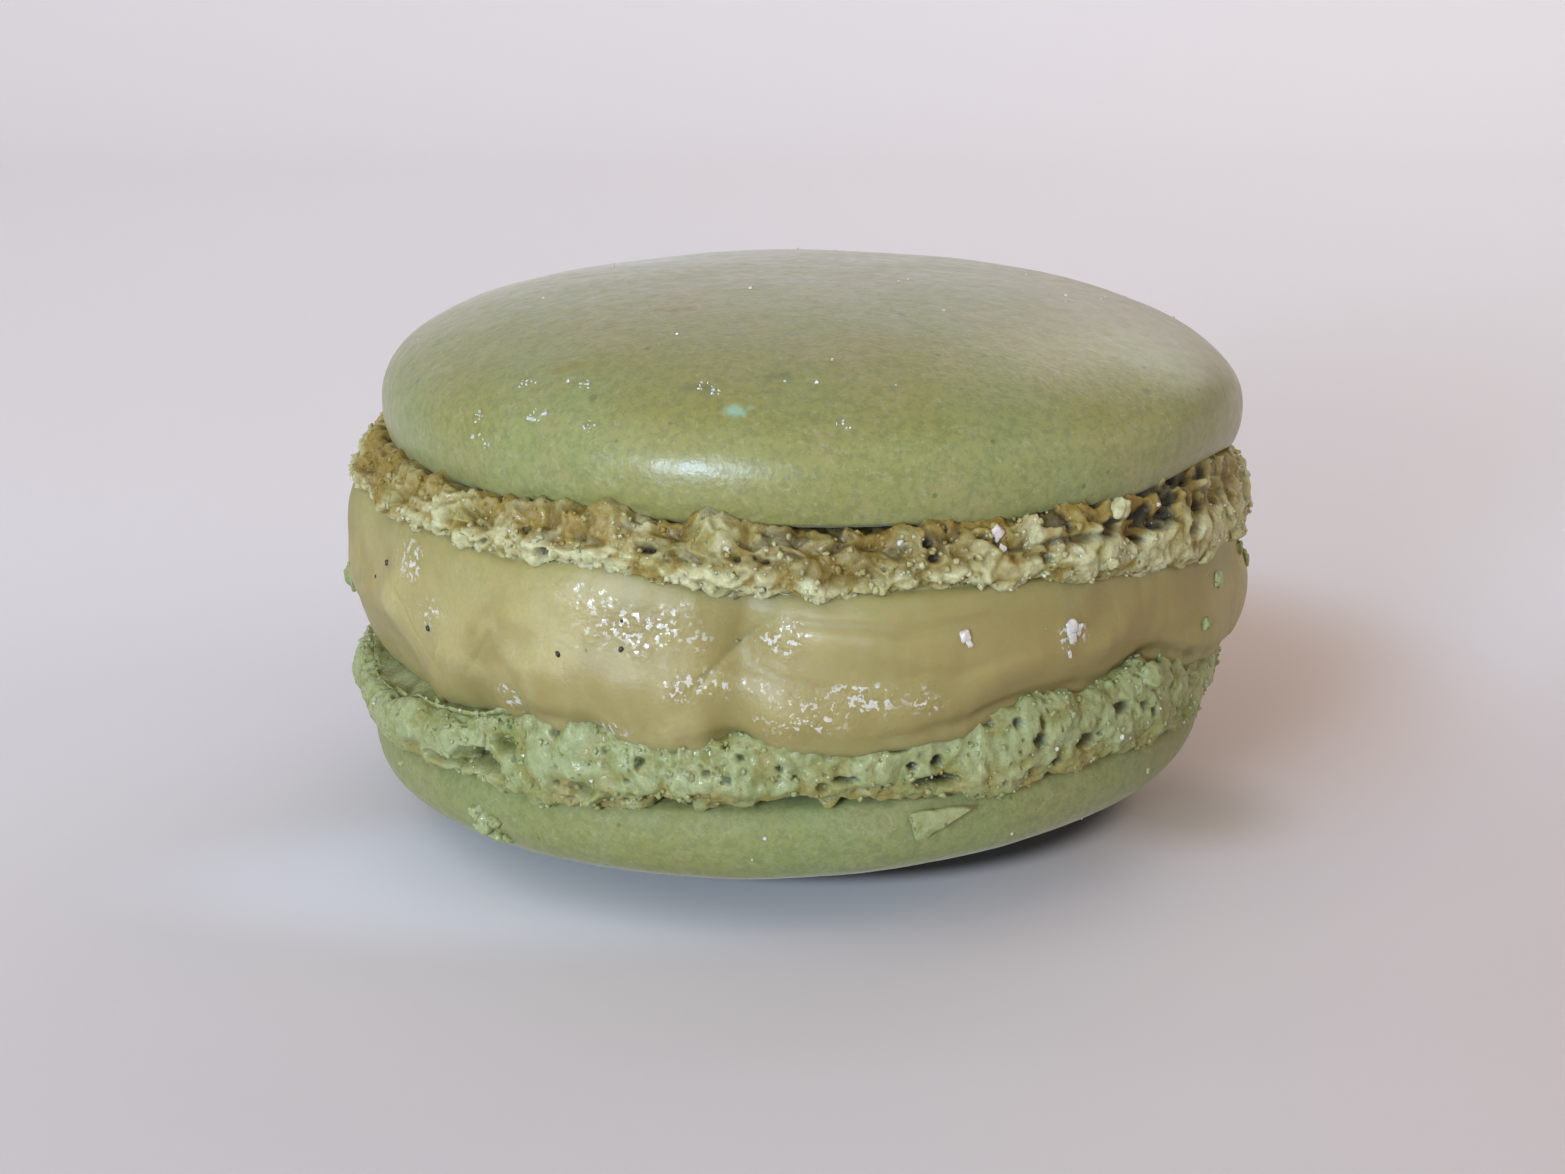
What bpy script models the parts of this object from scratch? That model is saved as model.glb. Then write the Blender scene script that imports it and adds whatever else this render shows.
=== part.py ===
# A French macaron: two baked shells with a layer of soft cream between them.
# Each shell is one piece, a smooth domed cap on a ruffled foot.
# Metres, +Z up. The origin is the middle of the box on the floor, -Y is the shown side.
import math
import random

import bmesh
import bpy
from mathutils import Vector

# driving dimensions
CAP_RADIUS = 0.0222
UPPER_FOOT_RADIUS = 0.0234
LOWER_FOOT_RADIUS = 0.0230
UPPER_DOME_HEIGHT = 0.0067
LOWER_DOME_HEIGHT = 0.0063
UPPER_FOOT_HEIGHT = 0.0030
LOWER_FOOT_HEIGHT = 0.0031
UPPER_EDGE_HEIGHT = 0.0017
LOWER_EDGE_HEIGHT = 0.0011
FILLING_THICKNESS = 0.0067
FILLING_RADIUS = 0.0228
UPPER_TILT = math.radians(0.8)
LOWER_TILT = math.radians(-2.1)
LOWER_SHELL_SLIP = -0.0008
CAP_SLIP = 0.0006
REST_FLAT_DEPTH = 0.00025

# shape details
DOME_FULLNESS = 2.35
CREASE_DEPTH = 0.0008
SOLE_RADIUS = 0.0206
TOUCHING_GAP = 0.0003
SEGMENTS = 96
DOME_RINGS = 8
RUFFLE_WAVES = (5, 8, 13, 19, 26)
RUFFLE_DEPTH = 0.00050
RAGGED_EDGE = 0.0006
CAP_WOBBLE = 0.00018


def clear_scene():
    for item in list(bpy.data.objects):
        bpy.data.objects.remove(item, do_unlink=True)


def make_material(name, color, roughness):
    material = bpy.data.materials.new(name)
    material.use_nodes = True
    shader = material.node_tree.nodes["Principled BSDF"]
    shader.inputs["Base Color"].default_value = (*color, 1.0)
    shader.inputs["Roughness"].default_value = roughness
    shader.inputs["Metallic"].default_value = 0.0
    return material


def smooth_step(low, high, value):
    # 0 below low, 1 above high, an even S in between
    t = min(max((value - low) / (high - low), 0.0), 1.0)
    return t * t * (3.0 - 2.0 * t)


def make_waves(seed, counts):
    # one (waves per turn, height, phase) for each count, with finer waves lower
    dice = random.Random(seed)
    return [(count, (counts[0] / count) ** 0.35, dice.uniform(0.0, math.tau)) for count in counts]


def read_waves(waves, angle, twist=0.0):
    # sum of sines around the rim, scaled to about -1..1; twist slides each wave along
    total = sum(height * math.sin(count * angle + phase + twist * count) for count, height, phase in waves)
    return total / sum(height for count, height, phase in waves) * 1.6


def bump(angle, middle, width):
    # a rounded hill of height 1 at one place on the rim
    away = math.atan2(math.sin(angle - middle), math.cos(angle - middle))
    return math.exp(-(away / width) ** 2)


def shell_profile(dome_height, foot_radius, foot_height, edge_height):
    # (radius, height) from the top of the dome, round the cap's rolled-in edge and down the foot to the sole
    edge_z = foot_height + edge_height
    points = []
    for ring in range(DOME_RINGS + 1):
        t = math.pi / 2 * (1.0 - ring / DOME_RINGS)
        radius = CAP_RADIUS * max(math.cos(t), 0.0) ** (2.0 / DOME_FULLNESS)
        height = dome_height * max(math.sin(t), 0.0) ** (2.0 / DOME_FULLNESS)
        points.append((radius, edge_z + height))
    points[0] = (0.0, edge_z + dome_height)
    points.append((CAP_RADIUS - 0.1 * CREASE_DEPTH, foot_height + 0.6 * edge_height))
    points.append((CAP_RADIUS - 0.4 * CREASE_DEPTH, foot_height + 0.25 * edge_height))
    points.append((CAP_RADIUS - CREASE_DEPTH, foot_height + 0.02 * edge_height))
    points.append((CAP_RADIUS + 0.2 * CREASE_DEPTH, 0.95 * foot_height))
    points.append((foot_radius - 0.0003, 0.80 * foot_height))
    points.append((foot_radius, 0.55 * foot_height))
    points.append((foot_radius - 0.0001, 0.32 * foot_height))
    points.append((foot_radius - 0.0005, 0.11 * foot_height))
    points.append((foot_radius - 0.0013, 0.0))
    points.append((SOLE_RADIUS, 0.0))
    points.append((0.0, 0.0))
    return points


def spin_profile(points):
    # a closed body turned from a profile whose two ends lie on the axis
    bm = bmesh.new()
    verts = [bm.verts.new((radius, 0.0, height)) for radius, height in points]
    edges = [bm.edges.new(pair) for pair in zip(verts, verts[1:])]
    bmesh.ops.spin(bm, geom=verts + edges, axis=(0, 0, 1), cent=(0, 0, 0),
                   angle=math.tau, steps=SEGMENTS, use_duplicate=False)
    bmesh.ops.remove_doubles(bm, verts=bm.verts, dist=1e-6)
    bmesh.ops.recalc_face_normals(bm, faces=bm.faces)
    return bm


def add_object(name, bm, material):
    bmesh.ops.triangulate(bm, faces=[face for face in bm.faces if len(face.verts) > 3])
    mesh = bpy.data.meshes.new(name)
    bm.to_mesh(mesh)
    bm.free()
    mesh.materials.append(material)
    mesh.shade_smooth()
    mesh.set_sharp_from_angle(angle=math.radians(50))
    piece = bpy.data.objects.new(name, mesh)
    bpy.context.collection.objects.link(piece)
    return piece


def ruffle_shell(bm, seed, foot_radius, foot_height, edge_height):
    # the foot swells and folds around the rim and its two edges are ragged; the cap is a little uneven
    coarse = make_waves(seed, RUFFLE_WAVES)
    fine = make_waves(seed + 1, RUFFLE_WAVES[2:])
    slow = make_waves(seed + 2, (2, 3, 5))
    for vert in bm.verts:
        radius = math.hypot(vert.co.x, vert.co.y)
        if radius < 1e-6:
            continue
        angle = math.atan2(vert.co.y, vert.co.x)
        level = vert.co.z / foot_height
        out = Vector((math.cos(angle), math.sin(angle), 0.0))
        rim = smooth_step(SOLE_RADIUS + 0.0002, foot_radius - 0.0008, radius)
        on_cap = smooth_step(1.0, 1.0 + edge_height / foot_height, level)
        on_foot = rim * (1.0 - smooth_step(0.9, 1.05, level))
        fold = read_waves(coarse, angle, 0.06 * level) + 0.6 * read_waves(fine, angle, -0.11 * level)
        vert.co += out * RUFFLE_DEPTH * fold * on_foot
        # the lower edge rises from the sole's plane, never below it
        near_sole = on_foot * (1.0 - smooth_step(0.1, 0.5, level))
        vert.co.z += RAGGED_EDGE * 0.5 * (1.0 + read_waves(fine, angle, 0.3)) * near_sole
        near_crease = on_foot * smooth_step(0.6, 0.9, level)
        vert.co.z += 0.35 * RAGGED_EDGE * read_waves(coarse, angle, 0.4) * near_crease
        wobble = CAP_WOBBLE * read_waves(slow, angle) * radius / CAP_RADIUS
        vert.co += out * wobble * on_cap
        vert.co.z += wobble * on_cap * 0.6
        vert.co.x += CAP_SLIP * on_cap


def make_upper_shell(material):
    profile = shell_profile(UPPER_DOME_HEIGHT, UPPER_FOOT_RADIUS, UPPER_FOOT_HEIGHT, UPPER_EDGE_HEIGHT)
    bm = spin_profile(profile)
    ruffle_shell(bm, 11, UPPER_FOOT_RADIUS, UPPER_FOOT_HEIGHT, UPPER_EDGE_HEIGHT)
    piece = add_object("top_shell", bm, material)
    piece.location = (0.0, 0.0, 0.5 * (FILLING_THICKNESS + TOUCHING_GAP))
    piece.rotation_euler = (0.0, UPPER_TILT, 0.0)
    return piece


def make_lower_shell(material):
    profile = shell_profile(LOWER_DOME_HEIGHT, LOWER_FOOT_RADIUS, LOWER_FOOT_HEIGHT, LOWER_EDGE_HEIGHT)
    bm = spin_profile(profile)
    ruffle_shell(bm, 23, LOWER_FOOT_RADIUS, LOWER_FOOT_HEIGHT, LOWER_EDGE_HEIGHT)
    # turned over so that its dome points down, then cut flat where it rests
    for vert in bm.verts:
        vert.co = Vector((vert.co.x, -vert.co.y, -vert.co.z))
    press_flat(bm, math.tan(LOWER_TILT))
    piece = add_object("bottom_shell", bm, material)
    piece.location = (LOWER_SHELL_SLIP, 0.0, -0.5 * (FILLING_THICKNESS + TOUCHING_GAP))
    piece.rotation_euler = (0.0, LOWER_TILT, 0.0)
    return piece


def press_flat(bm, leaning):
    # the dome is cut off along a plane that lies level once the shell leans
    floor = min(vert.co.z - leaning * vert.co.x for vert in bm.verts) + REST_FLAT_DEPTH
    cut = bmesh.ops.bisect_plane(bm, geom=bm.verts[:] + bm.edges[:] + bm.faces[:], dist=1e-7,
                                 plane_co=(0.0, 0.0, floor), plane_no=(-leaning, 0.0, 1.0), clear_inner=True)
    rim_edges = [item for item in cut["geom_cut"] if isinstance(item, bmesh.types.BMEdge)]
    bmesh.ops.contextual_create(bm, geom=rim_edges)
    bmesh.ops.recalc_face_normals(bm, faces=bm.faces)


def filling_profile():
    # (radius, share of the thickness) from the middle of the top, around the bulging rim, to the bottom
    inner = SOLE_RADIUS
    return [(0.0, 1.0), (inner, 1.0), (FILLING_RADIUS - 0.0009, 0.97), (FILLING_RADIUS - 0.0003, 0.86),
            (FILLING_RADIUS, 0.66), (FILLING_RADIUS + 0.0002, 0.40), (FILLING_RADIUS, 0.18),
            (FILLING_RADIUS - 0.0008, 0.04), (inner, 0.0), (0.0, 0.0)]


def make_filling(material):
    # squeezed cream: its two faces follow the leaning soles, its rim has broad lobes and a fold between them
    bm = spin_profile(filling_profile())
    waves = make_waves(37, (4, 7, 11, 17))
    for vert in bm.verts:
        radius = math.hypot(vert.co.x, vert.co.y)
        share = vert.co.z
        angle = math.atan2(vert.co.y, vert.co.x)
        if radius > SOLE_RADIUS + 1e-6:
            bulge = 0.0012 * bump(angle, math.radians(186), 0.45)
            bulge += 0.0010 * bump(angle, math.radians(243), 0.22)
            bulge += 0.0007 * bump(angle, math.radians(284), 0.20)
            bulge -= 0.0008 * bump(angle, math.radians(264), 0.07)
            bulge -= 0.0006 * bump(angle, math.radians(320), 0.25)
            bulge += 0.0003 * read_waves(waves, angle, 0.15 * share)
            swell = smooth_step(SOLE_RADIUS, FILLING_RADIUS, radius)
            vert.co.x += math.cos(angle) * bulge * swell
            vert.co.y += math.sin(angle) * bulge * swell
        upper = 0.5 * FILLING_THICKNESS - 0.5 * TOUCHING_GAP - math.tan(UPPER_TILT) * vert.co.x
        lower = -0.5 * FILLING_THICKNESS + 0.5 * TOUCHING_GAP - math.tan(LOWER_TILT) * vert.co.x
        vert.co.z = lower + (upper - lower) * share
    bmesh.ops.recalc_face_normals(bm, faces=bm.faces)
    return add_object("filling", bm, material)


def stand_on_floor(pieces):
    # slides all pieces together so that their box is centred on the origin and stands on the floor
    bpy.context.view_layer.update()
    corners = [piece.matrix_world @ vert.co for piece in pieces for vert in piece.data.vertices]
    low = Vector([min(corner[axis] for corner in corners) for axis in range(3)])
    high = Vector([max(corner[axis] for corner in corners) for axis in range(3)])
    shift = Vector((-0.5 * (low.x + high.x), -0.5 * (low.y + high.y), -low.z))
    for piece in pieces:
        piece.location += shift


clear_scene()
shell_material = make_material("pistachio_shell", (0.36, 0.40, 0.19), 0.45)
cream_material = make_material("pale_cream", (0.58, 0.53, 0.30), 0.30)
top_shell = make_upper_shell(shell_material)
bottom_shell = make_lower_shell(shell_material)
filling = make_filling(cream_material)
stand_on_floor([top_shell, filling, bottom_shell])
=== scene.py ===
import itertools
import math

import bmesh
import bpy
import numpy as np
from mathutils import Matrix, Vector


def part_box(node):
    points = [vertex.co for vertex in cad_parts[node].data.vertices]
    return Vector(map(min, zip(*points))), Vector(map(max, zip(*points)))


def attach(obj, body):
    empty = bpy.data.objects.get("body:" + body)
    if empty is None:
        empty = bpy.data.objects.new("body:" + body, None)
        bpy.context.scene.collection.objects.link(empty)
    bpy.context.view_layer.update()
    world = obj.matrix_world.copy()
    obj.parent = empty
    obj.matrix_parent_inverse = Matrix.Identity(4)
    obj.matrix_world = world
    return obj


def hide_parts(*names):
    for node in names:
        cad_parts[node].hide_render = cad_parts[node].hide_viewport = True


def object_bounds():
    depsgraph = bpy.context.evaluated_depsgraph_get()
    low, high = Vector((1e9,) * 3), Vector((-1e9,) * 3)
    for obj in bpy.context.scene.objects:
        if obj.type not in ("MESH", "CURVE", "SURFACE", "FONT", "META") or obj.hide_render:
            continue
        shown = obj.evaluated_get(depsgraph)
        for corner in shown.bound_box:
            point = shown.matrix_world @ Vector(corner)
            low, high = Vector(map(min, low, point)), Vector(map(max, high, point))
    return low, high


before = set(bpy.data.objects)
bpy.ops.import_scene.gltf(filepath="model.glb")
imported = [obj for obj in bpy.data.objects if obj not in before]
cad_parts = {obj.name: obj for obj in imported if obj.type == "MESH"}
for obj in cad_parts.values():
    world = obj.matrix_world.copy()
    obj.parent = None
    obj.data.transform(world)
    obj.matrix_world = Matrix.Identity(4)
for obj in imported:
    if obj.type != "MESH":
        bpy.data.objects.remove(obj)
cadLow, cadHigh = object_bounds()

mm = 0.001  # sizes below are in millimetres, meshes in metres
turn = 2 * math.pi


def latticeHash(cell, seed):
    # mixes the three whole numbers of each lattice cell with the seed into an even spread over 0..1
    h = (cell[..., 0] * 73856093) ^ (cell[..., 1] * 19349663) ^ (cell[..., 2] * 83492791)
    h = (h ^ (seed * 2654435761)) & 0xFFFFFFFF
    for _ in range(2):
        h = ((h ^ (h >> 16)) * 0x45D9F3B) & 0xFFFFFFFF
    return (h ^ (h >> 16)) / 4294967295


def smoothNoise(points, size, seed):
    # a random slope at each lattice corner, blended between corners by 6t^5 - 15t^4 + 10t^3, about -1..1
    spot = points / size
    base = np.floor(spot).astype(np.int64)
    part = spot - base
    blend = part * part * part * (part * (part * 6 - 15) + 10)
    total = np.zeros(points.shape[:-1])
    for corner in itertools.product((0, 1), repeat=3):
        cell = base + corner
        around = latticeHash(cell, seed) * turn
        lift = latticeHash(cell, seed + 77) * 2 - 1
        flat = np.sqrt(1 - lift * lift)
        away = part - corner
        slope = away[..., 0] * flat * np.cos(around) + away[..., 1] * flat * np.sin(around)
        slope += away[..., 2] * lift
        total += slope * np.where(corner, blend, 1 - blend).prod(axis=-1)
    return total * 1.6


def layeredNoise(points, size, seed, layers=3):
    # noise plus finer noise, each layer half as large and half as high
    total = 0
    for layer in range(layers):
        total += smoothNoise(points, size / 2 ** layer, seed + layer) / 2 ** layer
    return total / (2 - 0.5 ** (layers - 1))


def scatteredCentres(points, size, seed):
    # for each of the 27 lattice cells round each point: the cell, and the way from its scattered centre
    spot = points / size
    base = np.floor(spot).astype(np.int64)
    for corner in itertools.product((-1, 0, 1), repeat=3):
        cell = base + corner
        yield cell, spot - (cell + np.stack([latticeHash(cell, seed + axis) for axis in (1, 2, 3)], axis=-1))


def holeField(points, size, smallest, largest, share, seed):
    # distance to the nearest of the balls scattered one to a lattice cell, counted in that ball's own radii
    nearest = np.full(points.shape[:-1], 9)
    for cell, away in scatteredCentres(points, size, seed):
        radius = smallest + (largest - smallest) * latticeHash(cell, seed + 4) ** 2
        reach = np.linalg.norm(away, axis=-1) * size / radius
        nearest = np.minimum(nearest, np.where(latticeHash(cell, seed + 5) < share, reach, 9))
    return nearest


def cobbles(points, size, seed):
    # round bumps, one round each scattered point: 1 - distance^2 / 0.75, in cells, and 0 between them
    nearest = np.full(points.shape[:-1], 9)
    for _, away in scatteredCentres(points, size, seed):
        nearest = np.minimum(nearest, (away ** 2).sum(axis=-1))
    return np.clip(1 - nearest / 0.75, 0, 1)


def foamCells(points, size, seed):
    # torn foam: 0 along thin winding walls, where two noises cross zero, and 1 in the open cells between
    fine = 0.8 * np.abs(smoothNoise(points, 0.8 * size, seed + 7))
    return np.clip(np.minimum(np.abs(smoothNoise(points, size, seed)), fine) * 3.2, 0, 1)


def ease(low, high, value):
    # 0 below low, 1 above high, an even S in between
    t = np.clip((value - low) / (high - low), 0, 1)
    return t * t * (3 - 2 * t)


def turnFrom(angle, middle):
    # the turn from one direction to another, -180..180 degrees
    return (angle - middle + 180) % 360 - 180


def hill(angle, middle, width):
    # a rounded hill of height 1 round one direction: exp(-(turn / width)^2)
    return np.exp(-(turnFrom(angle, middle) / width) ** 2)


def liftAt(angle, lifts):
    # a sum of rounded hills, each (direction, width, height), in degrees
    return sum((height * hill(angle, middle, width) for middle, width, height in lifts), 0 * angle)


def ripple(angle, seed, counts):
    # a sum of sines round the rim with seeded phases, finer ones lower, about -1..1
    dice = np.random.default_rng(seed)
    shares = [(counts[0] / count) ** 0.5 for count in counts]
    total = 0
    for count, share in zip(counts, shares):
        total += share * np.sin(np.radians(angle) * count + dice.uniform(0, turn))
    return total / sum(shares) * 1.4


def rimAngle(points, middle):
    # the direction of each point seen from the middle of the round, 0..360 degrees from +X
    return np.degrees(np.arctan2(points[..., 1] - middle[1], points[..., 0] - middle[0])) % 360


def reachOf(points):
    # the distance of each point from the upright axis: sqrt(x^2 + y^2)
    return np.hypot(points[..., 0], points[..., 1])


def turned(a, b, angle):
    # two coordinates turned by an angle in radians: (a cos - b sin, a sin + b cos)
    return a * np.cos(angle) - b * np.sin(angle), a * np.sin(angle) + b * np.cos(angle)


def ballDepth(away):
    # the depth of a round hollow at a distance counted in its own radii: sqrt(1 - away^2)
    return np.sqrt(np.clip(1 - away ** 2, 0, 1))


def placedHollows(angle, level, radius, hollows, rough):
    # oval hollows at (angle, level, half width, half height, depth, darkness), with broken outlines; the
    # darkness is painted shade inside each hollow
    depth, dark = 0 * angle, 0 * angle
    for middle, height, halfWidth, halfHeight, deep, shade in hollows:
        across = np.radians(turnFrom(angle, middle)) * radius / halfWidth
        bowl = ballDepth(np.hypot(across, (level - height) / halfHeight) + 0.28 * rough)
        depth = np.maximum(depth, deep * bowl)
        dark = np.maximum(dark, shade * ease(0.35, 0.95, bowl))
    return depth, dark


def smoothPath(corners, rows):
    # a path through the corners by uniform Catmull-Rom curves, rows[i] steps on stretch i
    corners = np.array(corners, float)
    padded = np.vstack([2 * corners[0] - corners[1], corners, 2 * corners[-1] - corners[-2]])
    parts = []
    for i, steps in enumerate(rows):
        a, b, c, d = padded[i:i + 4]
        t = np.linspace(0, 1, steps, endpoint=False)[:, None]
        parts.append(0.5 * (2 * b + (c - a) * t + (2 * a - 5 * b + 4 * c - d) * t ** 2
                            + (3 * b - a - 3 * c + d) * t ** 3))
    parts.append(corners[-1:])
    return np.vstack(parts)


def turnedGrid(path, columns):
    # path of (radius, height) carried round the axis: points[row, column] and the outward direction there
    angle = np.linspace(0, 360, columns, endpoint=False)
    cosine, sine = np.cos(np.radians(angle)), np.sin(np.radians(angle))
    radius, height = path[:, :1], path[:, 1:]
    points = np.stack([radius * cosine, radius * sine, height + 0 * cosine], axis=-1)
    run = np.gradient(path, axis=0)
    length = np.maximum(np.linalg.norm(run, axis=1, keepdims=True), 1e-9)
    outR, outZ = -run[:, 1:] / length, run[:, :1] / length
    outward = np.stack([outR * cosine, outR * sine, outZ + 0 * cosine], axis=-1)
    return points, outward, angle[None, :] + 0 * radius


def smoothMesh(name, verts, faces):
    # a smooth-shaded mesh from points in metres and lists of corners
    mesh = bpy.data.meshes.new(name)
    mesh.from_pydata(verts, [], faces)
    mesh.shade_smooth()
    return mesh


def setMark(mesh, label, values):
    # stores one value for each point of a mesh, for the materials to read
    mesh.attributes.new(label, "FLOAT", "POINT").data.foreach_set("value", values.astype(np.float32))


def addObject(name, data):
    holder = bpy.data.objects.new(name, data)
    bpy.context.collection.objects.link(holder)
    return holder


def placePiece(name, mesh, material, nodeName=None):
    mesh.materials.append(material)
    piece = addObject(name, mesh)
    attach(piece, "root")
    if nodeName:
        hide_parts(nodeName)
    print("made", name, len(mesh.polygons), "faces")
    return piece


def closedMesh(name, grid, marks, material, nodeName):
    # a grid that runs from one pole to the other and round, in millimetres, made one closed smooth piece
    rows, columns = grid.shape[:2]
    verts = np.vstack([grid[0].mean(axis=0), grid[1:-1].reshape(-1, 3), grid[-1].mean(axis=0)]) * mm
    c = np.arange(columns)
    n = (c + 1) % columns
    r = np.arange(rows - 3)[:, None] * columns + 1
    quads = np.stack([r + c, r + columns + c, r + columns + n, r + n], axis=-1).reshape(-1, 4)
    last = 1 + (rows - 3) * columns
    topFan = np.stack([0 * c, 1 + c, 1 + n], axis=-1)
    endFan = np.stack([last + c, 0 * c + len(verts) - 1, last + n], axis=-1)
    mesh = smoothMesh(name, verts.tolist(), topFan.tolist() + quads.tolist() + endFan.tolist())
    for label, values in marks.items():
        values = np.broadcast_to(values, (rows, columns))
        setMark(mesh, label, np.concatenate([[values[0].mean()], values[1:-1].ravel(), [values[-1].mean()]]))
    return placePiece(name, mesh, material, nodeName)


def leanAndPlace(points, outward, look):
    # turns the lower shell over, leans a shell sideways about Y, and slides it to its place
    side = -1 if look["upsideDown"] else 1
    cosine, sine = math.cos(math.radians(look["lean"])), math.sin(math.radians(look["lean"]))
    matrix = np.array([[cosine, 0, side * sine], [0, side, 0], [-sine, 0, side * cosine]])
    return points @ matrix.T + look["middle"], outward @ matrix.T


class Paint:
    # one material's nodes in short words; a node is fed numbers, colours or other nodes' outputs
    def __init__(self, name, **values):
        self.material = bpy.data.materials.new(name)
        self.material.use_nodes = True
        self.tree = self.material.node_tree
        self.shader = self.tree.nodes["Principled BSDF"]
        self.place = self.node("TexCoord").outputs["Object"]
        self.give(**values)

    def feed(self, socket, value):
        if isinstance(value, bpy.types.NodeSocket):
            self.tree.links.new(value, socket)
        elif socket.type == "RGBA":
            socket.default_value = (*value, 1)
        else:
            socket.default_value = value

    def give(self, **values):
        # sets or links the shader's sockets by name
        for name, value in values.items():
            self.feed(self.shader.inputs[name.replace("_", " ")], value)

    def node(self, kind, *values, **settings):
        # a new node with its settings, its inputs fed in their order
        node = self.tree.nodes.new("ShaderNode" + kind)
        for name, value in settings.items():
            setattr(node, name, value)
        for socket, value in zip(node.inputs, values):
            self.feed(socket, value)
        return node

    def mix(self, share, first, second, blend="MIX"):
        # one colour over another by share
        mix = self.node("Mix", data_type="RGBA", blend_type=blend)
        for index, value in ((0, share), (6, first), (7, second)):
            self.feed(mix.inputs[index], value)
        return mix.outputs[2]

    def coats(self, colour, *coats):
        # lays each (share, colour) over what is there
        for share, coat in coats:
            colour = self.mix(share, colour, coat)
        return colour

    def spread(self, value, low, high, toLow=0, toHigh=1):
        # stretches the range low..high of a value to toLow..toHigh, held at its ends
        node = self.node("MapRange", value, low, high, toLow, toHigh, interpolation_type="SMOOTHSTEP")
        return node.outputs["Result"]

    def noise(self, size, detail=3, roughness=0.55):
        # noise with features of about the given size in millimetres, in object space
        return self.node("TexNoise", self.place, 0, 1 / (size * mm), detail, roughness).outputs["Fac"]

    def times(self, first, second):
        return self.node("Math", first, second, operation="MULTIPLY").outputs["Value"]

    def mark(self, label):
        # a value stored on the mesh
        return self.node("Attribute", attribute_name=label).outputs["Fac"]

    def dots(self, size, radius, share, shift=0):
        # 1 inside round dots of a radius, in millimetres, in a share of the cells of a size, 0 outside
        moved = self.node("Mapping", self.place, (shift, 2 * shift, 3 * shift)).outputs["Vector"]
        cells = self.node("TexVoronoi", moved, 0, 1 / (size * mm))
        lot = self.node("SeparateColor", cells.outputs["Color"]).outputs["Red"]
        near = self.spread(cells.outputs["Distance"], 0.6 * radius / size, 1.2 * radius / size, 1, 0)
        return self.times(self.spread(lot, share, share + 0.02, 1, 0), near)

    def bump(self, *layers):
        # layers of (height, depth in millimetres), one bump node feeding the next
        last = None
        for height, depth in layers:
            node = self.node("Bump")
            node.inputs["Distance"].default_value = depth * mm
            node.inputs["Strength"].default_value = 1
            self.feed(node.inputs["Height"], height)
            if last:
                self.feed(node.inputs["Normal"], last)
            last = node.outputs["Normal"]
        self.give(Normal=last)


# the last colour multiplies the lower dome's skin darker, a painted shade
skinLook = {
    "olive": (0.224, 0.214, 0.06), "mint": (0.214, 0.246, 0.09), "tan": (0.275, 0.235, 0.1),
    "speck": (0.105, 0.125, 0.045), "pale": (0.42, 0.43, 0.28), "sugar": (0.3, 0.62, 0.5),
    "scratch": (0.19, 0.135, 0.012), "paintedUnderShade": (0.8, 0.88, 0.84),
}


def makeSkin():
    # smooth baked skin: olive with minty and tan clouds, fine dark and pale specks and a soft gloss; on the
    # lower dome it is rougher and multiplied darker, a painted shade
    paint = Paint("bakedSkin", IOR=1.45, Subsurface_Weight=0.12, Subsurface_Radius=(1, 1, 0.5),
                  Subsurface_Scale=1.2 * mm, Sheen_Weight=0.2, Sheen_Roughness=0.4, Sheen_Tint=(1, 0.9, 0.86))
    noise, spread, mark, speck = paint.noise, paint.spread, paint.mark, skinLook["speck"]
    colour = paint.coats(
        skinLook["olive"],
        (spread(noise(9), 0.35, 0.7, 0, 0.75), skinLook["mint"]),
        (spread(noise(4, 6, 0.65), 0.46, 0.72, 0, 0.7), skinLook["tan"]),
        (spread(noise(0.45, 4, 0.8), 0.42, 0.62, 0, 0.42), speck),
        (spread(noise(0.4, 4, 0.8), 0.52, 0.7, 0, 0.26), skinLook["pale"]),
        (paint.times(paint.dots(1.3, 0.13, 0.45, 7), 0.85), speck),
        (paint.times(paint.dots(2.8, 0.24, 0.4, 3), 0.6), speck),
        (mark("fleck"), skinLook["sugar"]), (mark("toast"), skinLook["scratch"]), (mark("bruise"), speck))
    glossy = spread(noise(0.8), 0.3, 0.7, 0.3, 0.42)
    # on the lower dome the colour is multiplied darker, a painted shade, and the roughness is raised
    paint.give(Base_Color=paint.mix(mark("dull"), colour, skinLook["paintedUnderShade"], "MULTIPLY"),
               Roughness=paint.times(glossy, spread(mark("dull"), 0, 1, 1, 2)))
    paint.bump((noise(1.2, 2), 0.03), (noise(0.25), 0.022))
    return paint.material


# in each look the last two colours paint shade: dark for recesses, near black for pores and crevices
toastedCrumbLook = {
    "name": "toastedCrumb", "pale": (0.44, 0.43, 0.24), "wall": (0.285, 0.268, 0.088),
    "tan": (0.235, 0.16, 0.027), "deep": (0.12, 0.082, 0.012), "pitShade": (0.02, 0.016, 0.005),
}
mintCrumbLook = {
    "name": "mintCrumb", "pale": (0.268, 0.298, 0.138), "wall": (0.172, 0.2, 0.056),
    "tan": (0.235, 0.188, 0.05), "deep": (0.095, 0.1, 0.015), "pitShade": (0.022, 0.024, 0.006),
}


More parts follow.
